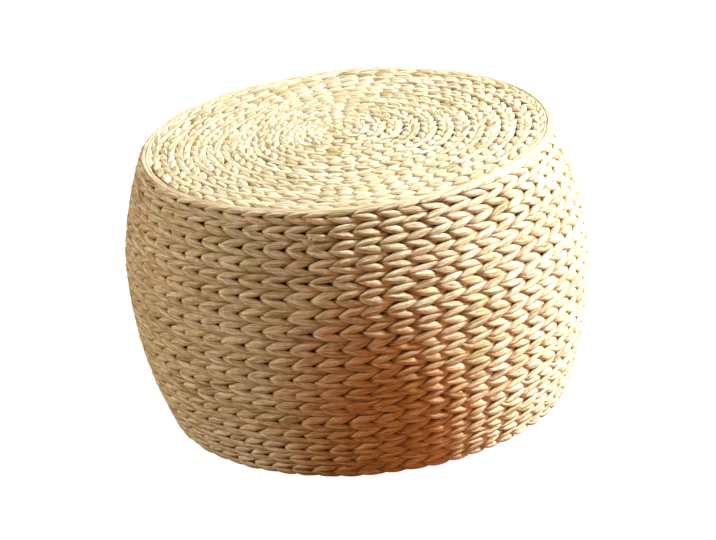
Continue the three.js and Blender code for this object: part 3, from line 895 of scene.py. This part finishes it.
def cane_section(run, seed):
    """Half thickness along a cane, and how dark it is."""
    start = np.random.default_rng(seed).uniform(RING_EARLIEST, RING_SPACING)
    off = (run - start + RING_SPACING / 2) % RING_SPACING - RING_SPACING / 2
    swell = RING_SWELL * np.exp(-(off / RING_REACH) ** 2)
    swell = swell - PINCH * np.exp(-((off - PINCH_PAST) / PINCH_REACH) ** 2)
    uneven = CANE_UNEVEN * wave(run / CANE_UNEVEN_UNIT, seed + 1, waves=4, longest=9.0)
    dark = RING_DARK * np.exp(-(off / RING_DARK_REACH) ** 2)
    return CANE / 2 * (CANE_FULL + swell + uneven), dark


def cane(skin, line, outward, seed):
    half, dark = cane_section(lengths_along(line), seed)
    rings, strand, _ = tube_rings(line, outward, half, half, CANE_BUMPS, seed + 2)
    tone = CANE_TONE + CANE_TONE_SPREAD * np.random.default_rng(seed).random()
    skin.tube(rings, strand, tone, dark[:, None])


def hoop_place(name):
    """Radius of a hoop's middle and of its inside, and its height, from its solid."""
    low, high = (np.array(corner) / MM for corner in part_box(f"{name}_hoop"))
    outer = high[0]
    middle = (outer - CANE / 2) * (1 + facet_share) / 2
    return middle, (outer - CANE) * facet_share, (low[2] + high[2]) / 2


hoop_middle, hoop_inside, hoop_height = (np.array(v) for v in zip(*(hoop_place(n) for n in HOOPS)))
rib_radius = hoop_inside - RIB_CLEAR - CANE / 2
for name, radius, z, seed in zip(HOOPS, hoop_middle, hoop_height, HOOP_SEEDS):
    skin = Skin()
    azimuth = FIRST_RIB + np.linspace(0, HOOP_TURN, HOOP_STEPS + 1)
    sway = HOOP_SWAY * wave(azimuth / HOOP_SWAY_UNIT, seed + 5, waves=4, longest=12.0)
    sway = sway * smooth((180 - np.abs(azimuth - HOOP_FAR_SIDE)) / HOOP_SWAY_FADE)
    cane(skin, polar(radius + sway, azimuth, z), polar(1.0, azimuth, 0.0), seed)
    skin.build(f"{name}_hoop_cane", frame_cane, "frame_cane", f"{name}_hoop")


def rib_line(azimuth, seed):
    """A rib bows with the barrel, and is straight where it passes a hoop."""
    z = np.linspace(0, RIB_TOP, RIB_POINTS)
    inset = profile_radius(hoop_height) - rib_radius
    bowed = profile_radius(z) - np.interp(z, hoop_height, inset)
    for height, radius in zip(hoop_height, rib_radius):
        reach = 1 - smooth((np.abs(z - height) - RIB_STRAIGHT) / RIB_BEND)
        bowed = bowed + (radius - bowed) * reach
    bowed = np.where(z < hoop_height[0], rib_radius[0], bowed)
    bowed = np.where(z > hoop_height[-1], rib_radius[-1], bowed)
    sway = RIB_SWAY * wave(z / RIB_SWAY_UNIT, seed, waves=4, longest=9.0)
    return polar(bowed, azimuth + sway * smooth(z / RIB_SWAY_FADE), z)


for i in range(RIBS):
    azimuth = FIRST_RIB + RIB_STEP * i
    skin = Skin()
    line = rib_line(azimuth, RIB_LINE_SEED + i)
    cane(skin, line, polar(1.0, azimuth, 0.0), RIB_CANE_SEED + 3 * i)
    skin.build(f"rib_cane_{i + 1}", frame_cane, "frame_cane", f"rib_{i + 1:02d}")

# Each crossing is bound with three turns of peel on one slant and three on the other.
PEEL_HALF_WIDE = 1.25
PEEL_HALF_THICK = 0.42
PEEL_TURN = 2.7
PEEL_UNEVEN = 0.12
PEEL_STEPS = 44
PEEL_START = 0.6
PEEL_ROUND = 1.02
PEEL_SQUARE = 0.68
PEEL_REACH = 9.2
PEEL_FOLLOWS = 0.9
PEEL_BUMPS = 0.03
PEEL_RUN = 50.0
PEEL_DEEP = 0.4
LASHING_SEEDS = (400, 500, 600)


def lashing(skin, azimuth, z, hoop_at, rib_at, seed):
    r = np.random.default_rng(seed)
    radial, tangent = polar(1.0, azimuth, 0.0), polar(1.0, azimuth + 90, 0.0)
    middle, half_gap = (hoop_at + rib_at) / 2, (hoop_at - rib_at) / 2
    centre = radial * middle + UP * z
    for layer, slant in enumerate((1, -1)):
        along = (tangent * slant + UP) / math.sqrt(2)
        aside = np.cross(radial, along)
        lift = PEEL_HALF_THICK + layer * 2 * PEEL_HALF_THICK
        for turn in (-1, 0, 1):
            a = -np.linspace(PEEL_START, PEEL_START + 2 * math.pi * PEEL_ROUND, PEEL_STEPS)
            p = squared(np.cos(a), PEEL_SQUARE) * (half_gap + CANE / 2 + lift)
            q = squared(np.sin(a), PEEL_SQUARE) * (PEEL_REACH + lift)
            shift = PEEL_TURN * turn + r.normal(0, PEEL_UNEVEN)
            # The turns keep to the hoop's own slant outside and to the rib's inside.
            lean = slant * shift * np.clip(p / half_gap, -1, 1)
            q = q - lean * np.sign(np.dot(aside, tangent)) * PEEL_FOLLOWS
            line = radial * (middle + p)[:, None] + along * q[:, None] + aside * shift
            line[:, 2] += z
            rings, strand, v = tube_rings(line, unit(line - centre), PEEL_HALF_WIDE,
                                          PEEL_HALF_THICK, PEEL_BUMPS, seed + turn,
                                          start=PEEL_RUN * r.random())
            # Painted shade: the inner side of each turn is a touch darker.
            skin.tube(rings, strand, r.random(), PEEL_DEEP - v)


for name, hoop_at, rib_at, z, seed in zip(HOOPS, hoop_middle, rib_radius, hoop_height, LASHING_SEEDS):
    skin = Skin()
    for i in range(RIBS):
        lashing(skin, FIRST_RIB + RIB_STEP * i, z, hoop_at, rib_at, seed + 10 * i)
    nodes = [f"{name}_lashing_{i + 1:02d}" for i in range(RIBS)]
    skin.build(f"{name}_lashings", cane_peel, "cane_peel", *nodes)

# The seat board, its braces, the screws and the stakes keep the CAD's shapes.
board_low, board_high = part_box("seat_board")
board = wood_material("board", (214, 180, 128), (182, 142, 92), (5, 60, 60),
                      plies=(board_low[2], board_high[2]))
timber_x = wood_material("timber_x", (206, 170, 118), (160, 118, 72), (7, 90, 90))
timber_y = wood_material("timber_y", (204, 166, 114), (156, 114, 70), (90, 7, 90))
steel = steel_material("screw_steel")
for name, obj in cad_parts.items():
    finish = {"seat_board": board, "lower_brace": timber_x, "upper_brace": timber_y}.get(name)
    if name.startswith("stake_fan"):
        finish = stake_cane
    elif name.startswith("board_screw"):
        finish = steel
    if finish:
        for entry in obj.material_slots:
            entry.material = finish

# The camera stands where the photograph was taken from.
ELEVATION = math.radians(22.41)
ROLL = math.radians(5.76)
DISTANCE = 3.0
FOCAL_PIXELS = 2765.0
IMAGE_WIDTH, IMAGE_HEIGHT = 716, 540
CENTRE_PIXEL = (358.59, 264.25)
SENSOR_WIDTH = 36.0
back = Vector((0, -math.cos(ELEVATION), math.sin(ELEVATION)))
right, upward = Vector((1, 0, 0)), Vector((0, math.sin(ELEVATION), math.cos(ELEVATION)))
camera_right = right * math.cos(ROLL) - upward * math.sin(ROLL)
camera_up = right * math.sin(ROLL) + upward * math.cos(ROLL)
camera_data = bpy.data.cameras.new("camera")
camera_data.sensor_width = SENSOR_WIDTH
camera_data.lens = FOCAL_PIXELS * camera_data.sensor_width / IMAGE_WIDTH
camera = bpy.data.objects.new("camera", camera_data)
bpy.context.collection.objects.link(camera)
facing = Matrix((camera_right, camera_up, back)).transposed().to_4x4()
scale = DISTANCE / FOCAL_PIXELS
aim = (Vector((0, 0, HEIGHT * MM / 2))
       - camera_right * (CENTRE_PIXEL[0] - IMAGE_WIDTH / 2) * scale
       - camera_up * (IMAGE_HEIGHT / 2 - CENTRE_PIXEL[1]) * scale)
camera.matrix_world = Matrix.Translation(aim + back * DISTANCE) @ facing
bpy.context.scene.camera = camera

# The lamps stand round the stool's middle, and the camera doesn't see them.
MIDDLE = (0, 0, 0.15)
LAMP_DISTANCE = 3.0


def area_light(name, place, target, size, power, colour):
    data = bpy.data.lights.new(name, "AREA")
    data.shape = "DISK"
    data.size = size
    data.energy = power
    data.color = colour
    light = bpy.data.objects.new(name, data)
    bpy.context.collection.objects.link(light)
    light.location = place
    light.rotation_mode = "QUATERNION"
    light.rotation_quaternion = (Vector(target) - Vector(place)).to_track_quat("-Z", "Y")
    light.visible_camera = False
    return light


def light_place(azimuth, elevation):
    """A place for a light, at an azimuth and elevation about the stool's middle."""
    x, y, _ = polar(LAMP_DISTANCE * math.cos(math.radians(elevation)), azimuth, 0.0)
    return x, y, MIDDLE[2] + LAMP_DISTANCE * math.sin(math.radians(elevation))


# Each lamp's place, what it points at, its size, its power in watts and its colour.
area_light("key", light_place(90, 33), MIDDLE, 0.35, 264, (0.79, 0.92, 0.99))
area_light("low", light_place(104, 6), MIDDLE, 1.4, 62, (0.84, 0.94, 1.0))
area_light("sky", light_place(100, 80), MIDDLE, 1.6, 33, (0.82, 0.93, 1.0))
area_light("side", light_place(68, 12), MIDDLE, 1.0, 19, (1.0, 0.5, 0.22))
area_light("fill", light_place(-76, 24), MIDDLE, 0.4, 60, (1.0, 0.87, 0.72))
under = area_light("under", (0, 0, -1.2), MIDDLE, 0.5, 1.7, (1.0, 0.9, 0.8))
under.data.spread = math.radians(24)
area_light("warm", (0.24, -0.56, 0.05), (0.08, -0.2, 0.04), 0.16, 0.5, (1.0, 0.3, 0.05))

# The world is white to the camera, and gives a weak warm light.
WORLD_LIGHT = (0.040, 0.025, 0.013)
world = bpy.data.worlds.new("world")
bpy.context.scene.world = world
world.use_nodes = True
world_nodes, world_links = world.node_tree.nodes, world.node_tree.links
sight = world_nodes.new("ShaderNodeLightPath")
glow = world_nodes.new("ShaderNodeMix")
glow.data_type = "RGBA"
glow.inputs[MIX_A].default_value = (*WORLD_LIGHT, 1)
glow.inputs[MIX_B].default_value = (*WHITE, 1)
world_links.new(sight.outputs["Is Camera Ray"], glow.inputs[MIX_FACTOR])
world_links.new(glow.outputs[MIX_RESULT], world_nodes["Background"].inputs["Color"])
bpy.context.scene.view_settings.view_transform = "Standard"

# The floor is near white to the camera and dull to everything else. It is dark under the
# stool, where the light from below passes it, and can be looked through from below.
FLOOR_HALF = 6.0
FLOOR_GLOW = 0.96
FLOOR_SHADE_RADIUS = 0.207
FLOOR_DULL = (0.16, 0.11, 0.07)
FLOOR_SEEN = (0.1, 0.1, 0.1)
mesh = bpy.data.meshes.new("floor")
corners = [(-1, -1), (1, -1), (1, 1), (-1, 1)]
mesh.from_pydata([(x * FLOOR_HALF, y * FLOOR_HALF, 0) for x, y in corners], [], [(0, 1, 2, 3)])
floor = bpy.data.objects.new("floor", mesh)
bpy.context.collection.objects.link(floor)
shade = Shade("floor", roughness=0.8)
ray = shade.node("ShaderNodeLightPath")
seen = ray.outputs["Is Camera Ray"]
shade.link(shade.mix("MIX", seen, FLOOR_DULL, FLOOR_SEEN), shade.shader.inputs["Base Color"])
reach = shade.node("ShaderNodeVectorMath", operation="LENGTH")
shade.link(shade.place(), reach.inputs[0])
outside = shade.maths("GREATER_THAN", reach.outputs["Value"], FLOOR_SHADE_RADIUS)
glowing = shade.maths("MULTIPLY", seen, outside)
shade.feed(WHITE, shade.shader.inputs["Emission Color"])
shade.feed(shade.maths("MULTIPLY", glowing, FLOOR_GLOW), shade.shader.inputs["Emission Strength"])
passing = shade.maths("GREATER_THAN", ray.outputs["Is Shadow Ray"], outside)
behind = shade.node("ShaderNodeNewGeometry").outputs["Backfacing"]
clear = shade.node("ShaderNodeBsdfTransparent")
sides = shade.node("ShaderNodeMixShader")
shade.link(shade.maths("MAXIMUM", behind, passing), sides.inputs[0])
shade.link(shade.shader.outputs[0], sides.inputs[1])
shade.link(clear.outputs[0], sides.inputs[2])
shade.link(sides.outputs[0], shade.tree.nodes["Material Output"].inputs["Surface"])
mesh.materials.append(shade.material)
